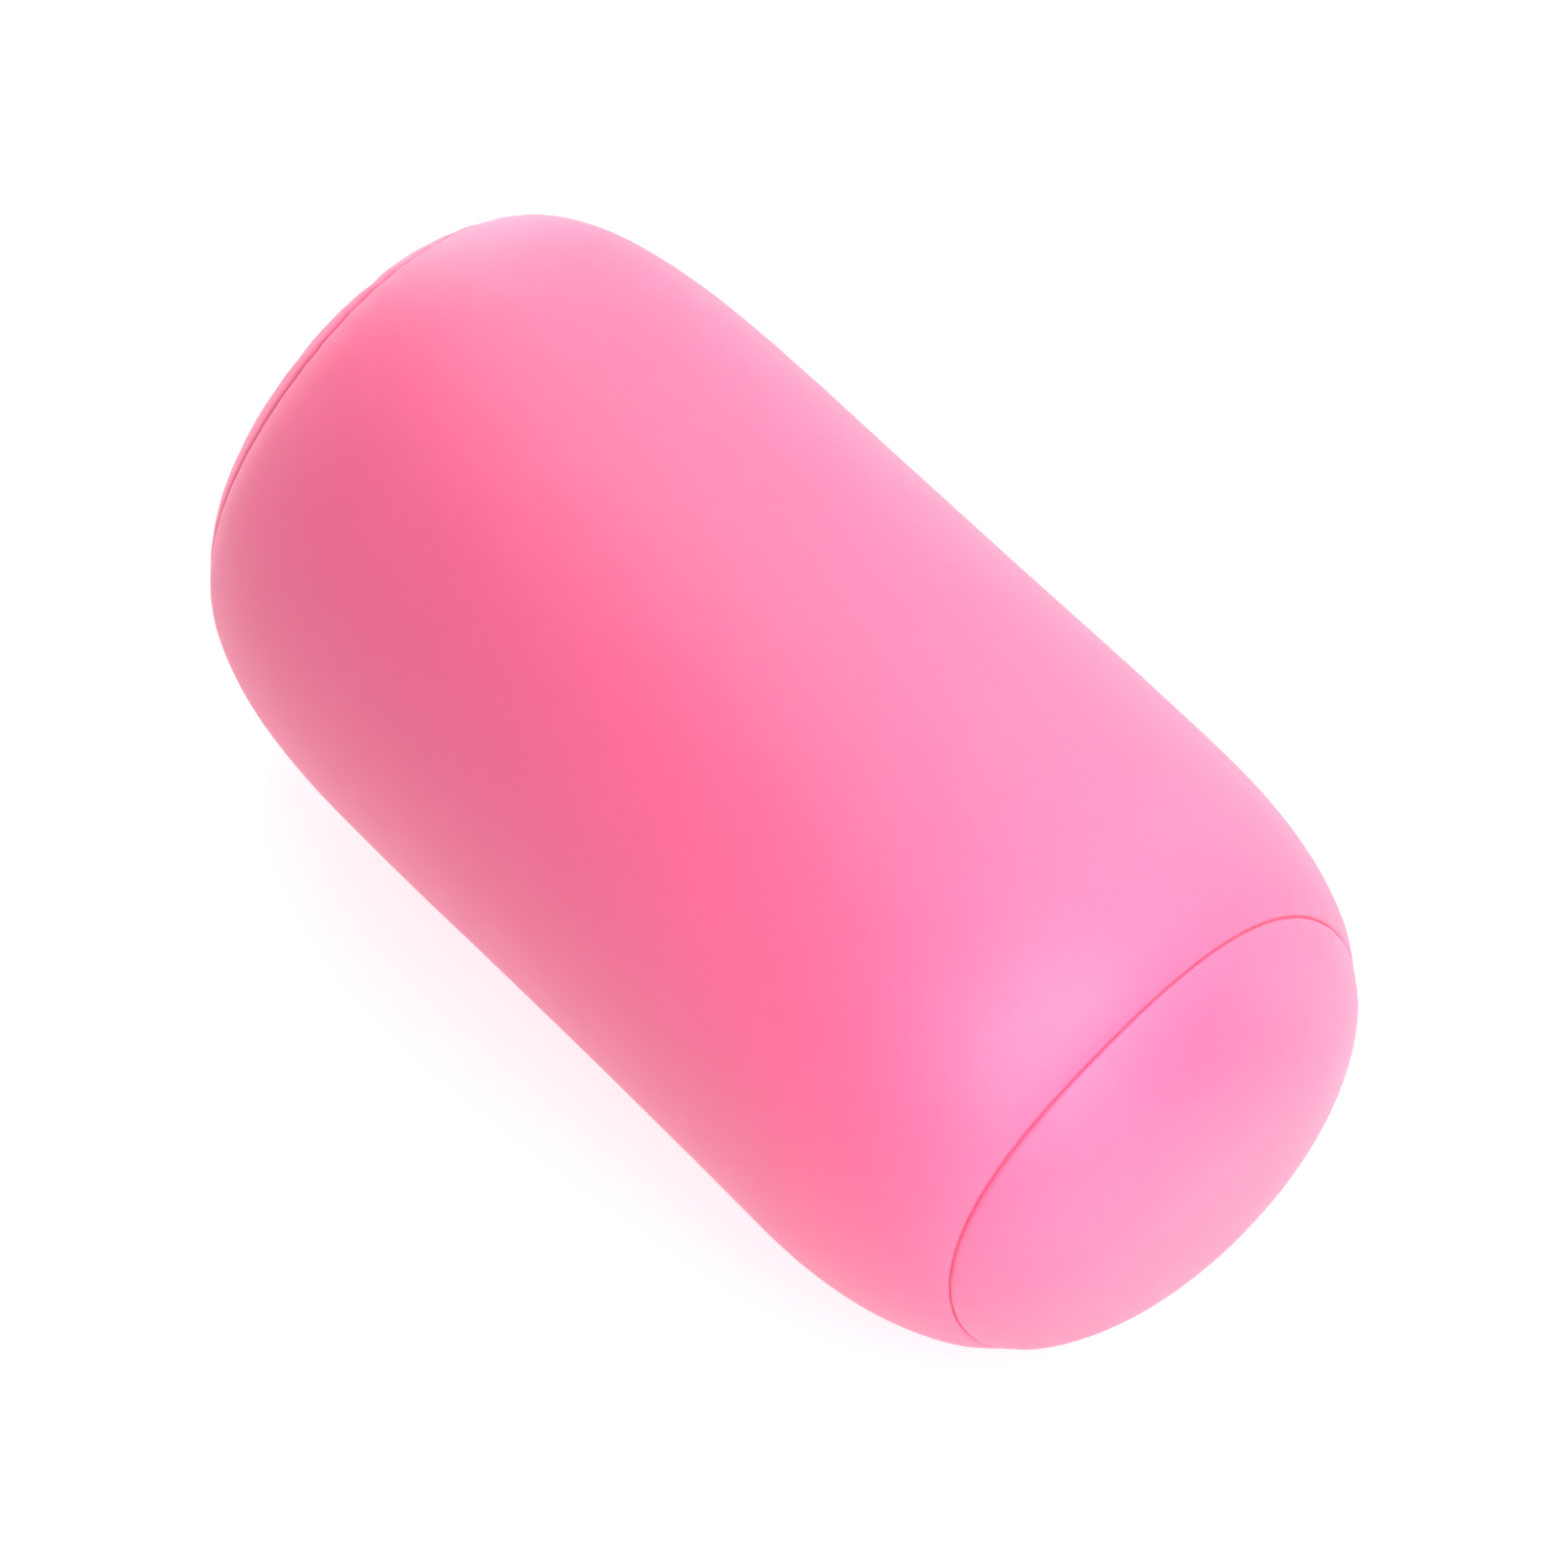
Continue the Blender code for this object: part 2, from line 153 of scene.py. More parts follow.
def skin(arc, around, depth=0.0):
    # a point that far below the roll's surface, with the base pressed flat on the floor
    for side, seamX in sewnAt.items():
        seam = arcAt(seamX)
        near = math.exp(-(((arc - seam) / roll["wanderReach"]) ** 2))
        arc += (arcAt(seamX + wander(side, around)) - seam) * near
    x, r, slopeX, slopeR = (float(np.interp(arc, outline[0], column)) for column in outline[1:])
    toFront = ease((x - settled["beyond"]) / settled["over"])
    toRear = ease((-x - settled["beyond"]) / settled["over"])
    front, rear = settled["front"], settled["rear"]
    x += depth * slopeR
    r -= depth * slopeX
    oval = settled["middleOval"] * (1 - toFront - toRear) * math.cos(2 * around)
    oval += front["oval"] * toFront * math.cos(2 * (around - front["ovalTurn"]))
    oval += rear["oval"] * toRear * math.cos(2 * (around - rear["ovalTurn"]))
    y, z = r * (1 + oval) * math.sin(around), r * (1 + oval) * math.cos(around)
    for end, share in ((front, toFront), (rear, toRear)):
        x += share * (end["leanY"] * y + end["leanZ"] * z)
        y += share * end["slipY"]
    low = roll["axisHeight"] + z - depth
    pressed = (low + math.sqrt(low * low + roll["basePress"] ** 2)) / 2
    return Vector((x, y, depth + pressed))


# Where each bag is sewn. Depths are below the roll's surface.
coverBag = {
    "name": "cover", "depth": 0.0, "cloth": 0.0006, "allowance": 0.007,
    "seams": {side: arcAt(seamX) for side, seamX in sewnAt.items()},
    "backSeam": roll["backSeam"], "closing": 0.040,
    "stitch": 0.0026, "thread": 0.00016, "rung": 0.005,
}
linerBag = {
    "name": "liner", "depth": 0.0012, "cloth": 0.0003, "allowance": 0.005,
    "seams": {"front": coverBag["seams"]["front"] + 0.0132, "rear": coverBag["seams"]["rear"] - 0.0132},
    "backSeam": roll["backSeam"] + math.pi, "closing": 0.030,
    "stitch": 0.003, "thread": 0.00012, "rung": 0.005,
}
# room that a seam's folded cloth takes under the skin
stack = {"deeper": 0.0034, "ramp": 0.006, "past": 0.0015}


def aroundFrom(bag, around):
    # turn from the bag's lengthwise seam, between minus and plus half a turn
    return (around - bag["backSeam"] + math.pi) % fullTurn - math.pi


def underSeams(arc, around):
    # 1 under the cover's folded seams, 0 away from them
    nearest = 1.0
    for side, seam in coverBag["seams"].items():
        back = abs(arc - seam)
        nearest = min(nearest, back - coverBag["allowance"] - stack["past"])
    if coverBag["seams"]["rear"] < arc < coverBag["seams"]["front"]:
        back = abs(aroundFrom(coverBag, around)) * roll["radius"]
        nearest = min(nearest, back - coverBag["allowance"] - stack["past"])
    return ease(1 - max(nearest, 0.0) / stack["ramp"])


def layerDepth(bag, arc, around):
    if bag is coverBag:
        return 0.0
    return bag["depth"] + stack["deeper"] * underSeams(arc, around)


# Mesh helpers.


def linkPiece(name, mesh, material):
    mesh.materials.clear()
    mesh.materials.append(material)
    mesh.shade_smooth()
    piece = bpy.data.objects.new(name, mesh)
    bpy.context.scene.collection.objects.link(piece)
    return piece


def meshPiece(name, bm, material):
    mesh = bpy.data.meshes.new(name)
    bm.to_mesh(mesh)
    bm.free()
    return linkPiece(name, mesh, material)


def faceOut(bm):
    # an open sheet has no inside, so its unfolded faces are compared with the roll's axis
    bm.normal_update()
    held = bm.verts.layers.float["held"]
    facing = 0.0
    for face in bm.faces:
        if all(vert[held] < 0.5 for vert in face.verts):
            middle = face.calc_center_median()
            facing += face.normal.dot(Vector((middle.x / 2, middle.y, middle.z - roll["axisHeight"])))
    if facing < 0:
        bmesh.ops.reverse_faces(bm, faces=bm.faces)


def applied(piece):
    # bakes the modifiers into the mesh
    graph = bpy.context.evaluated_depsgraph_get()
    mesh = bpy.data.meshes.new_from_object(piece.evaluated_get(graph))
    old = piece.data
    piece.modifiers.clear()
    piece.data = mesh
    bpy.data.meshes.remove(old)
    mesh.name = piece.name


def subdivided(piece, levels):
    smooth = piece.modifiers.new("Subdivision", "SUBSURF")
    smooth.levels = smooth.render_levels = levels
    smooth.boundary_smooth = "PRESERVE_CORNERS"


def thickened(piece, thickness):
    wall = piece.modifiers.new("Solidify", "SOLIDIFY")
    wall.thickness = thickness
    wall.offset = -1
    wall.use_rim = True


def evenly(start, end, step):
    count = max(1, round(abs(end - start) / step))
    return [start + (end - start) * k / count for k in range(count + 1)]


# The panels of cloth.


def lipSteps(bag, tucked):
    # the sewn edge of a panel, from its face over the lip to the raw edge: back from the seam, and depth
    half = -0.00008 if tucked else 0.00016
    bottom = bag["cloth"] * (4.2 if tucked else 3.2)
    return [
        (0.0036, 0.0), (0.0018, 0.00004), (0.0009, 0.00020), (0.00034, 0.00052),
        (half, bottom * 0.55), (half, bottom * 0.94),
        (0.0012, bottom), (bag["allowance"], bottom),
    ]


def tubeSheet(bag, spacing):
    # a grid of cloth, rolled up, with all four edges turned in at the seams
    front, rear = bag["seams"]["front"], bag["seams"]["rear"]
    lip, tuck = lipSteps(bag, False), lipSteps(bag, True)
    rows = [(rear + back, deep) for back, deep in lip[::-1]]
    rows += [(arc, 0.0) for arc in evenly(rear + lip[0][0], front - lip[0][0], spacing)[1:-1]]
    rows += [(front - back, deep) for back, deep in lip]
    radius = roll["radius"]
    edge = lip[0][0] / radius
    columns = [(back / radius, deep) for back, deep in lip[::-1]]
    columns += [(turn, 0.0) for turn in evenly(edge, fullTurn - edge, spacing / radius)[1:-1]]
    columns += [(fullTurn - back / radius, deep) for back, deep in tuck[:6]]
    columns += [(fullTurn + back / radius, deep) for back, deep in tuck[6:]]
    bm = bmesh.new()
    bmesh.ops.create_grid(bm, x_segments=len(columns) - 1, y_segments=len(rows) - 1, size=1)
    uv = bm.loops.layers.uv.new("cloth")
    held = bm.verts.layers.float.new("held")
    station = bm.verts.layers.int.new("station")
    for number, vert in enumerate(bm.verts):
        vert[station] = number
        i, j = divmod(number, len(columns))
        arc, rowDeep = rows[i]
        turn, columnDeep = columns[j]
        around = bag["backSeam"] + turn
        deep = max(rowDeep, columnDeep)
        vert[held] = 1.0 if deep > 0 else 0.0
        vert.co = skin(arc, around, layerDepth(bag, arc, around) + deep)
    for face in bm.faces:
        for loop in face.loops:
            i, j = divmod(loop.vert[station], len(columns))
            loop[uv].uv = (columns[j][0] * radius, rows[i][0])
    # two folds can't share a corner, so the back seam's folds stop short of the end seams
    clipped = []
    for face in bm.faces:
        i, j = divmod(min(vert[station] for vert in face.verts), len(columns))
        fromEnd = min(i, len(rows) - 2 - i)
        fromBack = min(j, len(columns) - 2 - j)
        atEnd = fromEnd < 2 and fromBack < 6
        atBack = fromBack < 2 and fromEnd < len(lip)
        if atEnd or atBack or max(fromEnd, fromBack) < 4:
            clipped.append(face)
    bmesh.ops.delete(bm, geom=clipped, context="FACES")
    faceOut(bm)
    return bm


def sameOrder(bm):
    # an extrusion leaves edges and faces in an order that changes from run to run, and cloth follows it
    bm.verts.index_update()
    total = len(bm.verts)

    def place(part):
        found = [vert.index for vert in part.verts]
        return min(found) * total + max(found)

    bm.edges.sort(key=place)
    bm.faces.sort(key=place)


def discSheet(bag, side, across):
    # a square grid of cloth, rounded out to a disc so that it has no pinched middle, then its sewn edge
    seam = bag["seams"][side]
    pole, sign = (frontPole, 1) if side == "front" else (rearPole, -1)
    steps = lipSteps(bag, True)
    reach = abs(pole - seam) - steps[0][0]
    bm = bmesh.new()
    bmesh.ops.create_grid(bm, x_segments=across, y_segments=across, size=1)
    uv = bm.loops.layers.uv.new("cloth")
    held = bm.verts.layers.float.new("held")
    polar = bm.verts.layers.float_vector.new("polar")  # around, distance from the pole, depth
    for vert in bm.verts:
        a, b = vert.co.x, vert.co.y
        if abs(a) >= abs(b):
            around = math.pi / 4 * b / a if a else 0.0
            around += math.pi if a < 0 else 0.0
        else:
            around = math.pi / 2 - math.pi / 4 * a / b
            around += math.pi if b < 0 else 0.0
        vert[polar] = (around, max(abs(a), abs(b)) * reach, 0.0)
    rim = [edge for edge in bm.edges if edge.is_boundary]
    for back, deep in steps[1:]:
        made = bmesh.ops.extrude_edge_only(bm, edges=rim)["geom"]
        rim = [edge for edge in made if isinstance(edge, bmesh.types.BMEdge) and edge.is_boundary]
        for vert in {vert for edge in rim for vert in edge.verts}:
            vert[polar] = (vert[polar].x, abs(pole - seam) - back, deep)
    sameOrder(bm)
    for vert in bm.verts:
        around, away, deep = vert[polar]
        arc = pole - sign * away
        vert[held] = 1.0 if deep > 0 else 0.0
        vert.co = skin(arc, around, layerDepth(bag, arc, around) + deep)
    for face in bm.faces:
        for loop in face.loops:
            around, away, deep = loop.vert[polar]
            loop[uv].uv = (away * math.cos(around), away * math.sin(around))
    faceOut(bm)
    return bm


def placesOf(bag, side, mesh):
    # where each vertex is on the roll, read back from how the cloth was laid out
    laid = np.zeros(len(mesh.loops) * 2, dtype=np.float32)
    corner = np.zeros(len(mesh.loops), dtype=np.int32)
    mesh.uv_layers["cloth"].data.foreach_get("uv", laid)
    mesh.loops.foreach_get("vertex_index", corner)
    flat = np.zeros((len(mesh.vertices), 2))
    flat[corner] = laid.reshape(-1, 2)
    if side == "tube":
        return [(float(v), bag["backSeam"] + float(u) / roll["radius"]) for u, v in flat]
    pole, sign = (frontPole, 1) if side == "front" else (rearPole, -1)
    return [(pole - sign * math.hypot(u, v), math.atan2(v, u)) for u, v in flat]


# How the beads fill the bag.

filling = {
    "pressure": 20.0, "frames": 20, "cap": 0.0014, "startInset": 0.00015,
    "tension": 8.0, "bending": 0.5, "mass": 0.3, "quality": 6,
    "broad": 0.00030, "fine": 0.00007,  # hollows where the beads have settled
    "broadScale": 22.0, "fineScale": 61.0,
    "pull": 0.0006, "pullReach": 0.0055,  # how the stitches draw the cloth in
    "pucker": 0.00013, "puckerPitch": 0.0098, "puckerReach": 0.005,
}


def drawnIn(arc, around):
    # how far the settled beads and the stitches take the cloth below its true surface
    point = skin(arc, around)
    total = noise.noise(point * filling["broadScale"]) * filling["broad"]
    total += noise.noise(point * filling["fineScale"] + Vector((3.1, 0.0, 5.7))) * filling["fine"]
    turns = round(fullTurn * roll["seamRadius"] / filling["puckerPitch"])
    for side, seam in coverBag["seams"].items():
        away = abs(arc - seam)
        ring = Vector((math.cos(around), math.sin(around), seam))
        uneven = 0.7 + 0.9 * noise.noise(Vector((ring.x * 2.4, ring.y * 2.4, seam * 9)))
        wave = math.sin(around * turns + 2.2 * noise.noise(ring))
        total += filling["pull"] * math.exp(-((away / filling["pullReach"]) ** 2))
        total += filling["pucker"] * wave * uneven * math.exp(-away / filling["puckerReach"])
    if coverBag["seams"]["rear"] < arc < coverBag["seams"]["front"]:
        away = abs(aroundFrom(coverBag, around)) * roll["radius"]
        uneven = 0.8 + 0.9 * noise.noise(Vector((arc * 35.0, 0.5, 2.0)))
        wave = math.sin(arc * fullTurn / filling["puckerPitch"])
        total += filling["pull"] * math.exp(-((away / filling["pullReach"]) ** 2))
        total += filling["pucker"] * wave * uneven * math.exp(-away / filling["puckerReach"])
    return total


def pressFlat(point):
    # nothing goes through the floor
    return Vector((point.x, point.y, (point.z + math.sqrt(point.z * point.z + 0.0004 ** 2)) / 2))


def settle(piece, places):
    for vert, (arc, around) in zip(piece.data.vertices, places):
        inwards = (skin(arc, around, 0.002) - skin(arc, around)).normalized()
        vert.co = pressFlat(vert.co + inwards * drawnIn(arc, around))


def onSkin(arc, around, depth):
    # a point of a thread or label on the settled roll
    return pressFlat(skin(arc, around, depth + drawnIn(arc, around)))


def inflate(piece, places):
    # the cloth starts slightly small, is held at its seams and blown out between them by the beads
    for vert, (arc, around) in zip(piece.data.vertices, places):
        loose = 1 - underSeams(arc, around)
        inwards = (skin(arc, around, 0.002) - skin(arc, around)).normalized()
        vert.co += inwards * filling["startInset"] * loose
    rest = [vert.co.copy() for vert in piece.data.vertices]
    held = piece.vertex_groups.new(name="seams")
    pins = [i for i, item in enumerate(piece.data.attributes["held"].data) if item.value > 0.5]
    held.add(pins, 1.0, "REPLACE")
    cloth = piece.modifiers.new("Cloth", "CLOTH")
    settings = cloth.settings
    settings.quality = filling["quality"]
    settings.mass = filling["mass"]
    settings.tension_stiffness = filling["tension"]
    settings.compression_stiffness = filling["tension"]
    settings.bending_stiffness = filling["bending"]
    settings.use_pressure = True
    settings.uniform_pressure_force = filling["pressure"]
    settings.effector_weights.gravity = 0
    settings.vertex_group_mass = "seams"
    cloth.collision_settings.use_collision = False
    cloth.collision_settings.use_self_collision = False
    cloth.point_cache.frame_start = 1
    cloth.point_cache.frame_end = filling["frames"]
    for number in range(1, filling["frames"] + 1):
        bpy.context.scene.frame_set(number)
    graph = bpy.context.evaluated_depsgraph_get()
    blown = [vert.co.copy() for vert in piece.evaluated_get(graph).data.vertices]
    piece.modifiers.remove(cloth)
    piece.vertex_groups.clear()
    furthest, outwards = 0.0, 0.0
    for vert, start, end in zip(piece.data.vertices, rest, blown):
        move = end - start
        furthest = max(furthest, move.length)
        outwards += move.dot(vert.normal) / len(rest)
        if move.length > filling["cap"]:
            move *= filling["cap"] / move.length
        vert.co = start + move
    bpy.context.scene.frame_set(1)
    print(f"{piece.name}: filled, moved up to {furthest * 1000:.1f} mm, "
          f"{outwards * 1000:.2f} mm outwards on average")


# Materials.


def nodeMaterial(name):
    material = bpy.data.materials.new(name)
    material.use_nodes = True
    tree = material.node_tree
    return material, tree, tree.nodes["Principled BSDF"]


def mathNode(tree, operation, *values):
    node = tree.nodes.new("ShaderNodeMath")
    node.operation = operation
    for socket, value in zip(node.inputs, values):
        if isinstance(value, (int, float)):
            socket.default_value = value
        else:
            tree.links.new(value, socket)
    return node.outputs[0]


def scaledTo(tree, value, low, high):
    return mathNode(tree, "MULTIPLY_ADD", value, high - low, low)


def colourRamp(tree, value, stops):
    node = tree.nodes.new("ShaderNodeValToRGB")
    tree.links.new(value, node.inputs["Fac"])
    first, last = node.color_ramp.elements
    first.position, first.color = stops[0]
    last.position, last.color = stops[-1]
    return node.outputs["Color"]


def noiseOn(tree, vector, scale, detail):
    node = tree.nodes.new("ShaderNodeTexNoise")
    node.inputs["Scale"].default_value = scale
    node.inputs["Detail"].default_value = detail
    tree.links.new(vector, node.inputs["Vector"])
    return node.outputs["Fac"]


def bumpOn(tree, shader, height, strength, distance):
    node = tree.nodes.new("ShaderNodeBump")
    node.inputs["Strength"].default_value = strength
    node.inputs["Distance"].default_value = distance
    tree.links.new(height, node.inputs["Height"])
    tree.links.new(node.outputs["Normal"], shader.inputs["Normal"])


knit = {
    "wale": 0.00062, "course": 0.00046,  # width and height of a stitch
    "light": (0.96, 0.112, 0.282, 1), "dark": (0.90, 0.092, 0.242, 1),
    "sheen": 0.25, "sheenRoughness": 0.35, "sheenTint": (1.0, 0.95, 0.98, 1),
    "roughness": 0.50, "uneven": 0.08, "specular": 1.0, "bump": 0.00006,
}


def knitMaterial():
    material, tree, shader = nodeMaterial("pinkStretchKnit")
    links = tree.links
    flat = tree.nodes.new("ShaderNodeUVMap")
    flat.uv_map = "cloth"
    where = tree.nodes.new("ShaderNodeTexCoord").outputs["Object"]
    parts = tree.nodes.new("ShaderNodeSeparateXYZ")
    links.new(flat.outputs["UV"], parts.inputs[0])
    wales = mathNode(tree, "DIVIDE", parts.outputs["X"], knit["wale"])
    courses = mathNode(tree, "DIVIDE", parts.outputs["Y"], knit["course"])
    # each wale is a column of small Vs, so the courses climb towards both sides of it
    climb = mathNode(tree, "PINGPONG", wales, 0.5)
    slanted = mathNode(tree, "MULTIPLY_ADD", climb, 1.5, courses)
    leg = mathNode(tree, "PINGPONG", mathNode(tree, "ADD", wales, 0.25), 0.25)
    legRound = mathNode(tree, "SINE", mathNode(tree, "MULTIPLY", leg, fullTurn))
    stitch = mathNode(tree, "PINGPONG", slanted, 0.5)
    stitchRound = mathNode(tree, "SINE", mathNode(tree, "MULTIPLY", stitch, fullTurn))
    height = mathNode(tree, "MULTIPLY", legRound, mathNode(tree, "MULTIPLY_ADD", stitchRound, 0.6, 0.4))
    fluff = noiseOn(tree, where, 1100.0, 3.0)
    patchy = noiseOn(tree, where, 60.0, 3.0)
    # a slightly marled yarn, uneven from place to place
    mixed = mathNode(tree, "MULTIPLY_ADD", height, 0.35, mathNode(tree, "MULTIPLY", fluff, 0.55))
    mixed = mathNode(tree, "MULTIPLY_ADD", patchy, 0.30, mixed)
    colour = colourRamp(tree, mixed, [(0.25, knit["dark"]), (0.80, knit["light"])])
    links.new(colour, shader.inputs["Base Color"])
    bumpOn(tree, shader, mathNode(tree, "MULTIPLY_ADD", fluff, 0.5, height), 0.5, knit["bump"])
    rough = scaledTo(tree, fluff, knit["roughness"] - knit["uneven"], knit["roughness"] + knit["uneven"])
    links.new(rough, shader.inputs["Roughness"])
    shader.inputs["Sheen Weight"].default_value = knit["sheen"]
    shader.inputs["Sheen Roughness"].default_value = knit["sheenRoughness"]
    shader.inputs["Sheen Tint"].default_value = knit["sheenTint"]
    shader.inputs["Specular IOR Level"].default_value = knit["specular"]
    return material


def threadMaterial(name, light, dark):
    # two plies show as a fine twist
    material, tree, shader = nodeMaterial(name)
    where = tree.nodes.new("ShaderNodeTexCoord").outputs["Object"]
    fluff = noiseOn(tree, where, 3200.0, 3.0)
    plies = tree.nodes.new("ShaderNodeTexWave")
    plies.bands_direction = "DIAGONAL"
    plies.inputs["Scale"].default_value = 900.0
    plies.inputs["Distortion"].default_value = 1.5
    tree.links.new(where, plies.inputs["Vector"])
    both = mathNode(tree, "MULTIPLY_ADD", plies.outputs["Fac"], 0.5, mathNode(tree, "MULTIPLY", fluff, 0.5))
    colour = colourRamp(tree, both, [(0.2, dark), (0.8, light)])
    tree.links.new(colour, shader.inputs["Base Color"])
    bumpOn(tree, shader, both, 0.5, 0.00005)
    tree.links.new(scaledTo(tree, fluff, 0.45, 0.65), shader.inputs["Roughness"])
    shader.inputs["Sheen Weight"].default_value = 0.25
    return material


liner = {"pitch": 0.00042, "light": (0.90, 0.90, 0.88, 1), "dark": (0.76, 0.76, 0.74, 1)}


def linerMaterial():
    # a plain weave: threads over and under, with the odd thick one
    material, tree, shader = nodeMaterial("whiteLiner")
    flat = tree.nodes.new("ShaderNodeUVMap")
    flat.uv_map = "cloth"
    parts = tree.nodes.new("ShaderNodeSeparateXYZ")
    tree.links.new(flat.outputs["UV"], parts.inputs[0])
    waves = []
    for axis in ("X", "Y"):
        turns = mathNode(tree, "MULTIPLY", parts.outputs[axis], fullTurn / liner["pitch"] / 2)
        waves.append(mathNode(tree, "SINE", turns))
    over = mathNode(tree, "ABSOLUTE", mathNode(tree, "MULTIPLY", *waves))
    slub = noiseOn(tree, tree.nodes.new("ShaderNodeTexCoord").outputs["Object"], 320.0, 3.0)
    both = mathNode(tree, "MULTIPLY_ADD", over, 0.5, mathNode(tree, "MULTIPLY", slub, 0.6))
    colour = colourRamp(tree, both, [(0.2, liner["dark"]), (0.8, liner["light"])])
    tree.links.new(colour, shader.inputs["Base Color"])
    bumpOn(tree, shader, over, 0.5, 0.00006)
    tree.links.new(scaledTo(tree, slub, 0.7, 0.9), shader.inputs["Roughness"])
    shader.inputs["Sheen Weight"].default_value = 0.15
    return material


satin = {
    "width": 0.025, "drop": 0.030, "tucked": 0.004, "alongX": -0.060, "gauge": 0.00012,
    "curl": 0.0016, "turn": 0.0006,  # how far it stands off the roll, and the radius of the fold
    "cup": 0.0005, "askew": 0.0006, "columns": 10,
    "light": (0.84, 0.83, 0.81, 1), "dark": (0.66, 0.65, 0.64, 1), "rib": 0.00035,
}


def satinMaterial():
    material, tree, shader = nodeMaterial("whiteSatin")
    flat = tree.nodes.new("ShaderNodeUVMap")
    flat.uv_map = "cloth"
    parts = tree.nodes.new("ShaderNodeSeparateXYZ")
    tree.links.new(flat.outputs["UV"], parts.inputs[0])
    warp = mathNode(tree, "PINGPONG", mathNode(tree, "DIVIDE", parts.outputs["X"], satin["rib"]), 0.5)
    weft = mathNode(tree, "PINGPONG", mathNode(tree, "DIVIDE", parts.outputs["Y"], satin["rib"] * 3), 0.5)
    fluff = noiseOn(tree, tree.nodes.new("ShaderNodeTexCoord").outputs["Object"], 700.0, 3.0)
    height = mathNode(tree, "MULTIPLY_ADD", warp, 0.7, mathNode(tree, "MULTIPLY", weft, 0.3))
    both = mathNode(tree, "MULTIPLY_ADD", height, 0.8, mathNode(tree, "MULTIPLY", fluff, 0.6))
    colour = colourRamp(tree, both, [(0.2, satin["dark"]), (0.8, satin["light"])])
    tree.links.new(colour, shader.inputs["Base Color"])
    bumpOn(tree, shader, height, 0.35, 0.00004)
    tree.links.new(scaledTo(tree, fluff, 0.28, 0.45), shader.inputs["Roughness"])
    shader.inputs["Anisotropic"].default_value = 0.5
    shader.inputs["Sheen Weight"].default_value = 0.15
    return material


beads = {"size": 0.0009, "light": (0.92, 0.92, 0.91, 1), "dark": (0.70, 0.70, 0.69, 1)}


def beadMaterial():
    # packed beads of foam: a cell for each bead, its colour darker towards the cell's edge as painted shade
    # in the gaps between beads
    material, tree, shader = nodeMaterial("whiteBeads")
    cells = tree.nodes.new("ShaderNodeTexVoronoi")
    cells.inputs["Scale"].default_value = 1 / beads["size"] / 1.6
    cells.inputs["Randomness"].default_value = 0.7
    tree.links.new(tree.nodes.new("ShaderNodeTexCoord").outputs["Object"], cells.inputs["Vector"])
    dome = mathNode(tree, "SUBTRACT", 1.0, cells.outputs["Distance"])
    # painted shade: the colour runs from the light tone at each bead's middle to the dark tone in the gaps
    # between beads
    colour = colourRamp(tree, dome, [(0.3, beads["dark"]), (0.8, beads["light"])])
    tree.links.new(colour, shader.inputs["Base Color"])
    bumpOn(tree, shader, dome, 0.8, 0.0003)
    tree.links.new(scaledTo(tree, dome, 0.7, 0.5), shader.inputs["Roughness"])
    shader.inputs["Subsurface Weight"].default_value = 0.1
    shader.inputs["Subsurface Scale"].default_value = 0.002
    return material


# The two bags.

pinkKnit = knitMaterial()
pinkThread = threadMaterial("pinkThread", (0.93, 0.15, 0.31, 1), (0.76, 0.08, 0.19, 1))
whiteLiner = linerMaterial()
whiteThread = threadMaterial("whiteThread", (0.92, 0.92, 0.90, 1), (0.78, 0.78, 0.76, 1))
whiteSatin = satinMaterial()
whiteBeads = beadMaterial()


def sewPanels(bag, material, spacing, across, fine):
    title = {"tube": "Tube", "front": "FrontDisc", "rear": "RearDisc"}
    nodes = {"tube": "tube_panel", "front": "front_disc", "rear": "rear_disc"}
    for side in title:
        sheet = tubeSheet(bag, spacing) if side == "tube" else discSheet(bag, side, across)
        piece = meshPiece(bag["name"] + title[side], sheet, material)
        places = placesOf(bag, side, piece.data)
        if bag is coverBag:
            inflate(piece, places)
        if fine:
            subdivided(piece, 1)
            applied(piece)
            places = placesOf(bag, side, piece.data)
        settle(piece, places)
        thickened(piece, bag["cloth"])
        applied(piece)
        piece.data.shade_smooth()
        for name in ("held", "station", "polar"):
            if name in piece.data.attributes:
                piece.data.attributes.remove(piece.data.attributes[name])
        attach(piece, "pillow")
        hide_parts(f"{bag['name']}_{nodes[side]}")
        print(f"{piece.name}: {len(piece.data.polygons)} faces")


sewPanels(coverBag, pinkKnit, 0.0046, 34, True)
sewPanels(linerBag, whiteLiner, 0.0068, 26, True)

# Threads.


def threadPiece(name, runs, thickness, material, sides=5):
    # thread along runs of points; a run whose last point meets its first is a ring
    curve = bpy.data.curves.new(name, "CURVE")
    curve.dimensions = "3D"
    curve.bevel_depth = thickness / 2
    curve.bevel_resolution = max(0, (sides - 4) // 2)
    curve.use_fill_caps = True
    for run in runs:
        ring = (run[0] - run[-1]).length < thickness / 2
        points = run[:-1] if ring else run
        spline = curve.splines.new("POLY")
        spline.points.add(len(points) - 1)
        for spot, point in zip(spline.points, points):
            spot.co = (*point, 1)
        spline.use_cyclic_u = ring
    drawn = bpy.data.objects.new(name + "Drawn", curve)
    bpy.context.scene.collection.objects.link(drawn)
    graph = bpy.context.evaluated_depsgraph_get()
    mesh = bpy.data.meshes.new_from_object(drawn.evaluated_get(graph))
    mesh.name = name
    bpy.data.objects.remove(drawn)
    bpy.data.curves.remove(curve)
    bm = bmesh.new()
    bm.from_mesh(mesh)
    bmesh.ops.remove_doubles(bm, verts=bm.verts, dist=1e-7)
    bmesh.ops.recalc_face_normals(bm, faces=bm.faces)
    bm.to_mesh(mesh)
    bm.free()
    return linkPiece(name, mesh, material)


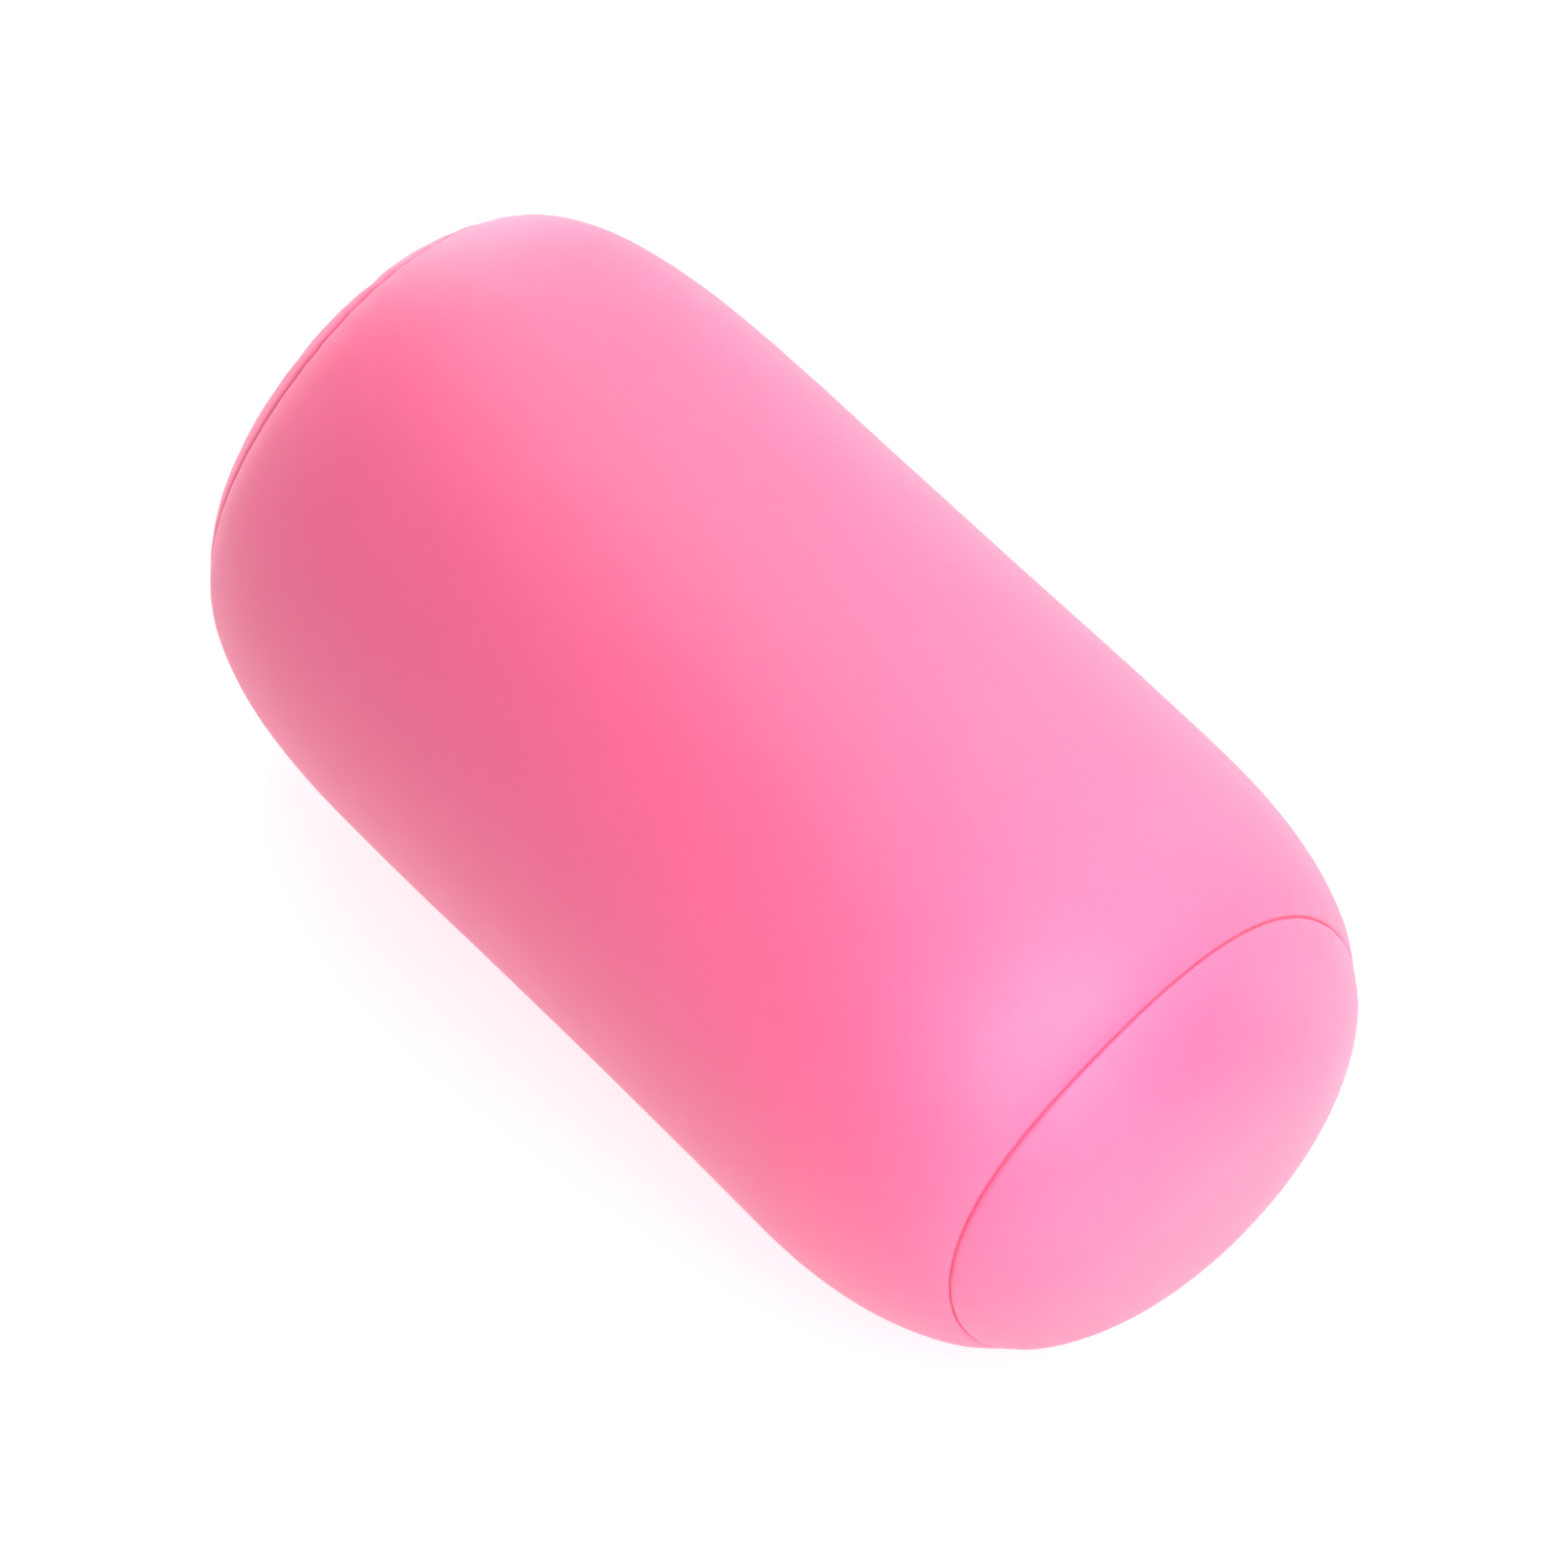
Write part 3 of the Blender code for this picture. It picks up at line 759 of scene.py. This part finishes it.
overlock = {"back": 0.0052, "reach": 0.0024, "high": 0.0008, "perLoop": 10}


def seamPoint(bag, seam, along, back, depth):
    # a point beside a seam: along it in radians for an end seam, in metres for the lengthwise one
    if seam == "back":
        around = bag["backSeam"] + back / roll["radius"]
        arc = along
    else:
        sign = 1 if seam == "front" else -1
        arc = bag["seams"][seam] - sign * back
        around = along
    return onSkin(arc, around, layerDepth(bag, arc, around) + depth)


def overlockRun(bag, seam, start, end, loops):
    # thread wound over the two raw edges, once for each stitch
    allowance = bag["allowance"]
    scale = allowance / coverBag["allowance"]
    middle = bag["cloth"] * 3.7 + 0.0002
    run = []
    for k in range(loops * overlock["perLoop"] + 1):
        turn = fullTurn * k / overlock["perLoop"]
        along = start + (end - start) * k / (loops * overlock["perLoop"])
        back = (overlock["back"] + overlock["reach"] * math.cos(turn)) * scale
        run.append(seamPoint(bag, seam, along, back, middle + overlock["high"] * math.sin(turn)))
    return run


def joiningRun(bag, seam, start, end, stitches):
    # the straight stitch that holds the panels together, seen only as dots in the seam
    run = []
    for k in range(stitches * 4 + 1):
        along = start + (end - start) * k / (stitches * 4)
        side = (0.0, 1.0, 0.0, -1.0)[k % 4]
        run.append(seamPoint(bag, seam, along, 0.0002 * side, bag["cloth"] * 1.9))
    return run


def sewSeams(bag, material):
    def sew(title, node, seam, start, end, loops):
        runs = [overlockRun(bag, seam, start, end, loops), joiningRun(bag, seam, start, end, loops)]
        piece = threadPiece(bag["name"] + title, runs, bag["thread"] * 2, material)
        finishThread(piece, f"{bag['name']}_{node}")

    for side in ("front", "rear"):
        loops = round(fullTurn * roll["seamRadius"] / bag["stitch"])
        sew(f"{side.title()}Seam", f"{side}_seam_thread", side, 0.0, fullTurn, loops)
    limits = {"front": bag["seams"]["front"] - 0.008, "rear": bag["seams"]["rear"] + 0.008}
    for side, limit in limits.items():
        start = bag["closing"] if side == "front" else -bag["closing"]
        loops = round(abs(limit - start) / bag["stitch"])
        sew(f"BackSeam{side.title()}", f"back_seam_thread_{side}", "back", start, limit, loops)
    finishThread(closingThread(bag, material), f"{bag['name']}_closing_thread")


# A hand stitch: how far it reaches from the seam, how deep it lies on its way over, and its knot.
ladder = {
    "reach": 0.0011, "over": ((1.0, 0.0006), (0.8, 0.0001), (0.3, -0.00002)), "slant": 0.0004,
    "foldReach": 0.0010, "foldDeep": 0.0009, "knot": 0.0003, "knotTurns": 3,
}


def closingThread(bag, material):
    # hand stitches over the gap the roll was filled through: a rung across, then on inside the fold
    rungs = round(2 * bag["closing"] / bag["rung"])
    run = []
    for k in range(rungs + 1):
        along = -bag["closing"] + 2 * bag["closing"] * k / rungs
        near, far = (1, -1) if k % 2 else (-1, 1)
        slant = ladder["slant"] * math.sin(5.3 * k)
        steps = [(near * share, deep) for share, deep in ladder["over"]]
        steps += [(far * share, deep) for share, deep in ladder["over"][::-1]]
        for side, deep in steps:
            run.append(seamPoint(bag, "back", along + slant * side, ladder["reach"] * side, deep))
        if k < rungs:
            halfWay = along + bag["rung"] / 2
            run.append(seamPoint(bag, "back", halfWay, ladder["foldReach"] * far, ladder["foldDeep"]))
    # the knot: a few tight turns beside the last rung
    knot = []
    points = 8 * ladder["knotTurns"]
    for k in range(points + 1):
        turn = fullTurn * k / 8
        swell = ladder["knot"] * math.sin(math.pi * k / points)
        along = bag["closing"] + 0.0002 + 0.0006 * k / points
        back = ladder["reach"] + swell * math.cos(turn)
        knot.append(seamPoint(bag, "back", along, back, -0.0001 + swell * math.sin(turn)))
    return threadPiece(f"{bag['name']}Closing", [run, knot], bag["thread"] * 2, material, 8)


def finishThread(piece, node):
    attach(piece, "pillow")
    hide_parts(node)
    print(f"{piece.name}: {len(piece.data.polygons)} faces")


sewSeams(coverBag, pinkThread)
sewSeams(linerBag, whiteThread)

# The beads, as one body of the shape that they fill.

body = {"cuts": 44, "depth": 0.0022, "deeper": 0.0022, "past": 0.001}  # below the roll's surface


def beadFill():
    bm = bmesh.new()
    bmesh.ops.create_cube(bm, size=2)
    bmesh.ops.subdivide_edges(bm, edges=bm.edges, cuts=body["cuts"], use_grid_fill=True)
    for vert in bm.verts:
        ray = vert.co.normalized()
        around = math.atan2(ray.y, ray.z)
        off = math.atan2(math.hypot(ray.y, ray.z), ray.x) / math.pi
        arc = frontPole + (rearPole - frontPole) * off
        # clear of the cover's folded seams, then of the liner's
        depth = body["depth"] + stack["deeper"] * underSeams(arc, around)
        away = [abs(arc - seam) for seam in linerBag["seams"].values()]
        away.append(abs(aroundFrom(linerBag, around)) * roll["radius"])
        for back in away:
            back = max(back - linerBag["allowance"] - body["past"], 0.0)
            depth = max(depth, body["depth"] + body["deeper"] * ease(1 - back / stack["ramp"]))
        vert.co = onSkin(arc, around, depth)
    bmesh.ops.recalc_face_normals(bm, faces=bm.faces)
    piece = meshPiece("beadFill", bm, whiteBeads)
    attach(piece, "pillow")
    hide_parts("bead_fill")
    print(f"{piece.name}: {len(piece.data.polygons)} faces")


beadFill()

# The care label, a loop of blank ribbon held in the lengthwise seam.


def careLabel():
    flapLow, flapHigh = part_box("care_label_flap")
    arc = arcAt(satin["alongX"])
    mouth = onSkin(arc, coverBag["backSeam"], 0.0001)
    inside = onSkin(arc, coverBag["backSeam"], satin["tucked"])
    turn = satin["turn"]
    drop = mouth.z - flapLow[2]

    def stand(fall):
        # how far the ribbon stands off a plumb line through the mouth, that far down
        share = fall / drop
        return 0.0003 + satin["curl"] * math.sin(math.pi * min(share, 1.0) * 0.9) * share

    # one layer goes down, turns under and comes up again behind itself: outward, height and which layer
    path = []
    for k in range(4):
        point = inside.lerp(mouth, k / 3)
        path.append((point.y - 0.00012, point.z))
    for k in range(1, 16):
        fall = (drop - turn) * k / 15
        path.append((mouth.y + stand(fall) + turn * min(1.0, 2.5 * fall / drop), mouth.z - fall))
    centre = (mouth.y + stand(drop - turn), mouth.z - (drop - turn))
    for k in range(1, 8):
        around = math.pi * k / 8
        path.append((centre[0] + turn * math.cos(around), centre[1] - turn * math.sin(around)))
    for k in range(15, 0, -1):
        fall = (drop - turn) * k / 15
        behind = turn * min(1.0, 2.5 * fall / drop) * 0.9 + 0.00025 * (1 - fall / drop)
        path.append((mouth.y + stand(fall) - behind, mouth.z - fall))
    for k in range(3, -1, -1):
        point = inside.lerp(mouth, k / 3)
        path.append((point.y + 0.00002 - 0.00028, point.z - 0.00014))
    lengths = [0.0]
    for (y0, z0), (y1, z1) in zip(path, path[1:]):
        lengths.append(lengths[-1] + math.hypot(y1 - y0, z1 - z0))
    columns = satin["columns"]
    bm = bmesh.new()
    bmesh.ops.create_grid(bm, x_segments=columns, y_segments=len(path) - 1, size=1)
    uv = bm.loops.layers.uv.new("cloth")
    station = bm.verts.layers.int.new("station")
    for number, vert in enumerate(bm.verts):
        vert[station] = number
        i, j = divmod(number, columns + 1)
        across = (j / columns - 0.5) * satin["width"]
        y, z = path[i]
        fall = max(mouth.z - z, 0.0) / drop
        # the free end cups a little and hangs a touch askew
        cup = satin["cup"] * fall * (2 * across / satin["width"]) ** 2
        cup += 0.0003 * fall * math.sin(across * 300.0)
        ripple = 0.0002 * fall * math.sin(across * 120.0)
        vert.co = (satin["alongX"] + across + satin["askew"] * fall, y + cup, z + ripple)
    for face in bm.faces:
        for loop in face.loops:
            i, j = divmod(loop.vert[station], columns + 1)
            loop[uv].uv = ((j / columns - 0.5) * satin["width"], lengths[i])
    bmesh.ops.recalc_face_normals(bm, faces=bm.faces)
    piece = meshPiece("careLabel", bm, whiteSatin)
    wall = piece.modifiers.new("Solidify", "SOLIDIFY")
    wall.thickness = satin["gauge"]
    wall.offset = 0
    subdivided(piece, 1)
    applied(piece)
    piece.data.attributes.remove(piece.data.attributes["station"])
    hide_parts("care_label_flap", "care_label_tab")
    hingeZ = flapHigh[2]
    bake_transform(piece, "pillow", "care_label", start=(0, 0, hingeZ + 0.0005), end=(0, 0, hingeZ - 0.003))
    print(f"{piece.name}: {lengths[-1] * 1000:.1f} mm of ribbon")


careLabel()

# The studio.

studio = {
    "azimuth": 47.6, "elevation": 58.6, "distance": 1.91, "lens": 168.8,
    "aimRight": 0.0016, "aimUp": 0.0006,
}


def pointing(bearing, height):
    # from the roll towards something at that bearing and height, in degrees
    turn, rise = math.radians(bearing), math.radians(height)
    return Vector((math.sin(turn) * math.cos(rise), -math.cos(turn) * math.cos(rise), math.sin(rise)))


def placeCamera():
    turn = math.radians(studio["azimuth"])
    towards = pointing(studio["azimuth"], studio["elevation"])
    right = Vector((math.cos(turn), math.sin(turn), 0))
    up = towards.cross(right)
    middle = Vector((0, 0, roll["axisHeight"])) + right * studio["aimRight"] + up * studio["aimUp"]
    data = bpy.data.cameras.new("camera")
    data.lens = studio["lens"]
    data.sensor_width = 36
    data.clip_start = 0.05
    camera = bpy.data.objects.new("camera", data)
    turned = Matrix((right, up, towards)).transposed().to_4x4()
    camera.matrix_world = Matrix.Translation(middle + towards * studio["distance"]) @ turned
    bpy.context.scene.collection.objects.link(camera)
    bpy.context.scene.camera = camera


# Softboxes: what each is aimed at, its bearing and height in degrees, distance, size across and watts.
softboxes = {
    "backLow": ("middle", 180, 20, 1.2, 0.7, 5.0),
    "leftTop": ("middle", 240, 60, 1.2, 0.7, 4.7),
    "leftBack": ("middle", 210, 35, 1.2, 0.7, 1.8),
    "farSide": ("middle", 330, 30, 1.2, 0.7, 0.5),
    "rearRim": ("rear", 235, 8, 0.7, 0.3, 1.7),
    "rearLow": ("rear", 285, 8, 0.7, 0.3, 0.5),
    "endTop": ("end", 150, 65, 0.65, 0.4, 1.45),
    "endRight": ("end", 75, 8, 0.22, 0.12, 0.14),
    "endWide": ("end", 30, 65, 0.36, 0.2, 0.25),
    "endNear": ("end", 30, 65, 0.22, 0.12, 0.21),
    "endBack": ("end", 150, 8, 0.22, 0.12, 0.11),
    "endFront": ("end", 30, 8, 0.22, 0.12, 0.07),
}


def softbox(name, aim, bearing, height, distance, size, watts):
    towards = pointing(bearing, height)
    data = bpy.data.lights.new(name, "AREA")
    data.shape = "DISK"
    data.size = size
    data.energy = watts
    light = bpy.data.objects.new(name, data)
    light.location = aim + towards * distance
    light.rotation_euler = (-towards).to_track_quat("-Z", "Y").to_euler()
    light.visible_camera = False
    bpy.context.scene.collection.objects.link(light)


placeCamera()
aims = {"rear": -0.14, "middle": 0.0, "end": 0.16}
for name, (aim, *rest) in softboxes.items():
    softbox(name, Vector((aims[aim], 0, roll["axisHeight"])), *rest)

world = bpy.data.worlds.new("studio")
world.use_nodes = True
world.node_tree.nodes["Background"].inputs["Color"].default_value = (1, 1, 1, 1)
world.node_tree.nodes["Background"].inputs["Strength"].default_value = 0.45
bpy.context.scene.world = world
bpy.context.scene.view_settings.view_transform = "Standard"

# a sheet of white paper, lit a little from below
paper = {"across": 12.0, "white": 0.55, "glow": 0.68}


def paperFloor():
    bm = bmesh.new()
    bmesh.ops.create_grid(bm, x_segments=2, y_segments=2, size=paper["across"] / 2)
    material, tree, shader = nodeMaterial("paper")
    shader.inputs["Base Color"].default_value = (paper["white"], paper["white"], paper["white"], 1)
    shader.inputs["Roughness"].default_value = 0.9
    shader.inputs["Emission Color"].default_value = (1, 1, 1, 1)
    shader.inputs["Emission Strength"].default_value = paper["glow"]
    meshPiece("floor", bm, material)


paperFloor()
print(f"studio: {len(softboxes)} softboxes, a camera and a paper floor")
